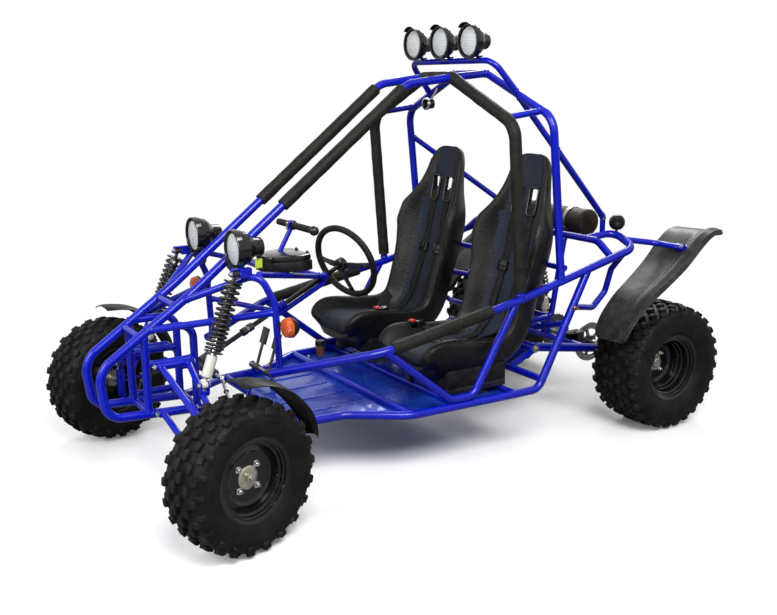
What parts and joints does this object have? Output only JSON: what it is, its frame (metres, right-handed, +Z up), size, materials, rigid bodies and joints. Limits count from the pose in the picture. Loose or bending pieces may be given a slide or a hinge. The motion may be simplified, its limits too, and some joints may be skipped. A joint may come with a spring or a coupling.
{
  "type": "two-seat off-road kart",
  "caption": "Tube-frame off-road kart with roll cage, two bucket seats, steered front wheels on A-arms, a swing-arm live rear axle and a rear engine.",
  "frame": {"origin": "on the ground, at the middle of the overall box", "axes": "+X to the nose, +Y to the left-hand side, +Z up"},
  "size_m": [2.5058, 1.526, 1.643],
  "materials": {
    "blue_paint": "gloss",
    "foam": "matte",
    "tyre": "matte",
    "black_steel": "satin",
    "steel": "satin",
    "cream_steel": "satin",
    "vinyl": "satin",
    "black_plastic": "satin",
    "fender_plastic": "satin",
    "engine": "satin",
    "red_plastic": "gloss"
  },
  "bodies": {
    "frame": {"dash_pod": "black_plastic", "engine": "engine", "floor_frame": "blue_paint", "grab_handle": "black_plastic", "headlamp_left": "black_plastic", "headlamp_right": "black_plastic", "hoop_sleeve": "foam", "nose_frame": "blue_paint", "nose_sleeve_left": "foam", "nose_sleeve_right": "foam", "rail_sleeve_left": "foam", "rail_sleeve_right": "foam", "rear_fender_left": "fender_plastic", "rear_fender_right": "fender_plastic", "rear_frame": "blue_paint", "roll_cage": "blue_paint", "roof_lamp_left": "black_plastic", "roof_lamp_middle": "black_plastic", "roof_lamp_right": "black_plastic", "seat_left": "vinyl", "seat_right": "vinyl", "side_frame_left": "blue_paint", "side_frame_right": "blue_paint"},
    "lower_arm_left": {"lower_arm_left": "blue_paint"},
    "upper_arm_left": {"upper_arm_left": "blue_paint"},
    "upright_left": {"upright_left": "blue_paint"},
    "knuckle_left": {"knuckle_left": "blue_paint", "front_fender_left": "fender_plastic"},
    "front_wheel_left": {"front_left_tyre": "tyre", "front_left_rim": "black_steel"},
    "shock_body_left": {"front_shock_body_left": "black_steel", "front_spring_left": "black_steel"},
    "shock_rod_left": {"front_shock_rod_left": "cream_steel"},
    "tie_rod_left": {"tie_rod_left": "steel"},
    "buckle_button_left": {"buckle_button_left": "red_plastic"},
    "lower_arm_right": {"lower_arm_right": "blue_paint"},
    "upper_arm_right": {"upper_arm_right": "blue_paint"},
    "upright_right": {"upright_right": "blue_paint"},
    "knuckle_right": {"knuckle_right": "blue_paint", "front_fender_right": "fender_plastic"},
    "front_wheel_right": {"front_right_tyre": "tyre", "front_right_rim": "black_steel"},
    "shock_body_right": {"front_shock_body_right": "black_steel", "front_spring_right": "black_steel"},
    "shock_rod_right": {"front_shock_rod_right": "cream_steel"},
    "tie_rod_right": {"tie_rod_right": "steel"},
    "buckle_button_right": {"buckle_button_right": "red_plastic"},
    "swing_arm": {"swing_arm": "black_steel"},
    "rear_wheels": {"rear_axle": "steel", "rear_left_rim": "black_steel", "rear_left_tyre": "tyre", "rear_right_rim": "black_steel", "rear_right_tyre": "tyre"},
    "rear_shock_body": {"rear_shock_body": "black_steel", "rear_spring": "black_steel"},
    "rear_shock_rod": {"rear_shock_rod": "cream_steel"},
    "steering_wheel": {"steering_wheel": "black_plastic"},
    "steering_rack": {"steering_rack": "steel"},
    "brake_pedal": {"brake_pedal": "black_steel"},
    "throttle_pedal": {"throttle_pedal": "black_steel"}
  },
  "joints": [
    {"name": "suspension_left", "type": "hinge", "parent": "frame", "child": "lower_arm_left", "pos_m": [0.97507, 0.13, 0.32], "axis": [1, 0, 0], "range_deg": [-6, 8], "stiffness_Nm_per_rad": 4000, "springref_deg": -2.58},
    {"name": "upper_arm_swing_left", "type": "hinge", "parent": "frame", "child": "upper_arm_left", "pos_m": [0.97507, 0.13, 0.49], "axis": [1, 0, 0], "range_deg": [-6, 8]},
    {"name": "upright_level_left", "type": "hinge", "parent": "lower_arm_left", "child": "upright_left", "pos_m": [0.97507, 0.505, 0.165], "axis": [1, 0, 0], "range_deg": [-8, 6]},
    {"name": "suspension_right", "type": "hinge", "parent": "frame", "child": "lower_arm_right", "pos_m": [0.97507, -0.13, 0.32], "axis": [-1, 0, 0], "range_deg": [-6, 8], "stiffness_Nm_per_rad": 4000, "springref_deg": -2.58},
    {"name": "upper_arm_swing_right", "type": "hinge", "parent": "frame", "child": "upper_arm_right", "pos_m": [0.97507, -0.13, 0.49], "axis": [-1, 0, 0], "range_deg": [-6, 8]},
    {"name": "upright_level_right", "type": "hinge", "parent": "lower_arm_right", "child": "upright_right", "pos_m": [0.97507, -0.505, 0.165], "axis": [-1, 0, 0], "range_deg": [-8, 6]},
    {"name": "steer_left", "type": "hinge", "parent": "upright_left", "child": "knuckle_left", "pos_m": [0.97507, 0.543, 0.25], "axis": [0, 0, 1], "range_deg": [-45.5, 14.5]},
    {"name": "steer_right", "type": "hinge", "parent": "upright_right", "child": "knuckle_right", "pos_m": [0.97507, -0.543, 0.25], "axis": [0, 0, 1], "range_deg": [-45.5, 14.5]},
    {"name": "front_wheel_spin_left", "type": "hinge", "parent": "knuckle_left", "child": "front_wheel_left", "pos_m": [0.95302, 0.6225, 0.25], "axis": [-0.2672, 0.9636, 0], "continuous": true},
    {"name": "front_wheel_spin_right", "type": "hinge", "parent": "knuckle_right", "child": "front_wheel_right", "pos_m": [0.99711, -0.6225, 0.25], "axis": [-0.2672, 0.9636, 0], "continuous": true},
    {"name": "front_shock_swing_left", "type": "hinge", "parent": "frame", "child": "shock_body_left", "pos_m": [0.79207, 0.275, 0.812], "axis": [0.5842, -0.7921, 0.1771], "range_deg": [-1.22, 1.63]},
    {"name": "front_shock_travel_left", "type": "slide", "parent": "shock_body_left", "child": "shock_rod_left", "axis": [-0.3684, -0.0644, 0.9274], "range_m": [-0.01626, 0.02168]},
    {"name": "front_shock_swing_right", "type": "hinge", "parent": "frame", "child": "shock_body_right", "pos_m": [0.79207, -0.275, 0.812], "axis": [-0.5842, -0.7921, -0.1771], "range_deg": [-1.22, 1.63]},
    {"name": "front_shock_travel_right", "type": "slide", "parent": "shock_body_right", "child": "shock_rod_right", "axis": [-0.3684, 0.0644, 0.9274], "range_m": [-0.01626, 0.02168]},
    {"name": "rack_travel", "type": "slide", "parent": "frame", "child": "steering_rack", "axis": [0, 1, 0], "range_m": [-0.02441, 0.07654]},
    {"name": "tie_rod_swing_left", "type": "hinge", "parent": "steering_rack", "child": "tie_rod_left", "pos_m": [0.80707, 0.14438, 0.41], "axis": [1, 0, 0], "range_deg": [-6, 8]},
    {"name": "tie_rod_swing_right", "type": "hinge", "parent": "steering_rack", "child": "tie_rod_right", "pos_m": [0.80707, -0.19782, 0.41], "axis": [-1, 0, 0], "range_deg": [-6, 8]},
    {"name": "steering_wheel_turn", "type": "hinge", "parent": "frame", "child": "steering_wheel", "pos_m": [0.05707, -0.27, 0.69], "axis": [0.9089, 0.2787, -0.3102], "range_deg": [-87, 273]},
    {"name": "rear_suspension", "type": "hinge", "parent": "frame", "child": "swing_arm", "pos_m": [-0.51793, 0, 0.345], "axis": [0, 1, 0], "range_deg": [-5, 6], "stiffness_Nm_per_rad": 14000, "springref_deg": -2.01},
    {"name": "rear_axle_spin", "type": "hinge", "parent": "swing_arm", "child": "rear_wheels", "pos_m": [-0.98793, 0, 0.265], "axis": [0, 1, 0], "continuous": true},
    {"name": "rear_shock_swing", "type": "hinge", "parent": "frame", "child": "rear_shock_body", "pos_m": [-0.76293, 0, 0.738], "axis": [0, 1, 0], "range_deg": [-0.33, 0.396]},
    {"name": "rear_shock_travel", "type": "slide", "parent": "rear_shock_body", "child": "rear_shock_rod", "axis": [0.2107, 0, 0.9776], "range_m": [-0.02814, 0.03376]},
    {"name": "brake_pedal_press", "type": "hinge", "parent": "frame", "child": "brake_pedal", "pos_m": [0.49207, -0.15, 0.3], "axis": [0, 1, 0], "range_deg": [0, 20], "stiffness_Nm_per_rad": 4, "springref_deg": -5.73},
    {"name": "throttle_pedal_press", "type": "hinge", "parent": "frame", "child": "throttle_pedal", "pos_m": [0.49207, -0.262, 0.3], "axis": [0, 1, 0], "range_deg": [0, 20], "stiffness_Nm_per_rad": 4, "springref_deg": -5.73},
    {"name": "buckle_press_left", "type": "slide", "parent": "frame", "child": "buckle_button_left", "axis": [0, 0, -1], "range_m": [0, 0.003], "stiffness_N_per_m": 150, "springref_m": -0.001},
    {"name": "buckle_press_right", "type": "slide", "parent": "frame", "child": "buckle_button_right", "axis": [0, 0, -1], "range_m": [0, 0.003], "stiffness_N_per_m": 150, "springref_m": -0.001}
  ],
  "couplings": [
    {"joint": "upper_arm_swing_left", "follows": "suspension_left", "ratio": 1},
    {"joint": "upright_level_left", "follows": "suspension_left", "ratio": -1},
    {"joint": "upper_arm_swing_right", "follows": "suspension_right", "ratio": 1},
    {"joint": "upright_level_right", "follows": "suspension_right", "ratio": -1},
    {"joint": "steer_right", "follows": "steer_left", "ratio": 1},
    {"joint": "front_shock_swing_left", "follows": "suspension_left", "ratio": 0.2037},
    {"joint": "front_shock_travel_left", "follows": "suspension_left", "m_per_rad": 0.15522},
    {"joint": "front_shock_swing_right", "follows": "suspension_right", "ratio": 0.2037},
    {"joint": "front_shock_travel_right", "follows": "suspension_right", "m_per_rad": 0.15522},
    {"joint": "rack_travel", "follows": "steer_left", "m_per_rad": -0.096363},
    {"joint": "tie_rod_swing_left", "follows": "suspension_left", "ratio": 1},
    {"joint": "tie_rod_swing_right", "follows": "suspension_right", "ratio": 1},
    {"joint": "steering_wheel_turn", "follows": "steer_left", "ratio": -6},
    {"joint": "rear_shock_swing", "follows": "rear_suspension", "ratio": 0.06581},
    {"joint": "rear_shock_travel", "follows": "rear_suspension", "m_per_rad": 0.3223}
  ]
}
